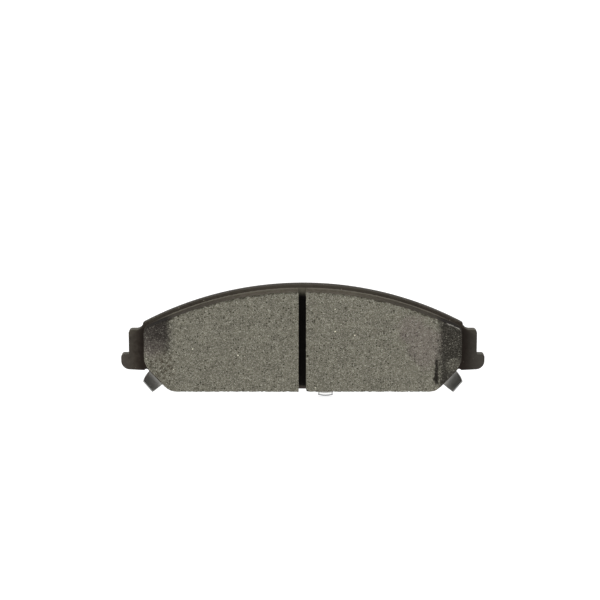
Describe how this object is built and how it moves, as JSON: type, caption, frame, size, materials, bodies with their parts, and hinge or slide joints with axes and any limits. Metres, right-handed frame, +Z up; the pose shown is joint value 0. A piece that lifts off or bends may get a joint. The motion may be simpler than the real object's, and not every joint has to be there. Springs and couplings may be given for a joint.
{
  "type": "disc brake pad",
  "caption": "Arched disc brake pad with stepped end ears, a slotted and chamfered friction block, a hooked shim and a wear indicator.",
  "frame": {"origin": "centre of the rear contact face that the piston presses, on the symmetry plane at mid height of the backing plate", "axes": "+X along the pad's length, +Y out of the rear face towards the piston, +Z up through the arch, friction face towards -Y"},
  "size_m": [0.193, 0.0177, 0.0614],
  "materials": {
    "plate_paint": "satin black-brown powder coat",
    "underlayer": "rough pressed compound",
    "friction": "ground, speckled friction compound",
    "adhesive": "pressure-sensitive film",
    "coated_steel": "dark coated sheet",
    "rubber": "matt",
    "shim_steel": "satin rolled sheet",
    "spring_steel": "satin spring strip",
    "rivet_steel": "zinc plated"
  },
  "bodies": {
    "root": {"backing_plate": "plate_paint", "underlayer": "underlayer", "friction_segment_left": "friction", "friction_segment_right": "friction", "shim_adhesive": "adhesive", "inner_shim": "coated_steel", "shim_rubber_layer": "rubber", "outer_shim": "shim_steel", "wear_indicator": "spring_steel", "wear_indicator_rivet": "rivet_steel"}
  },
  "joints": []
}
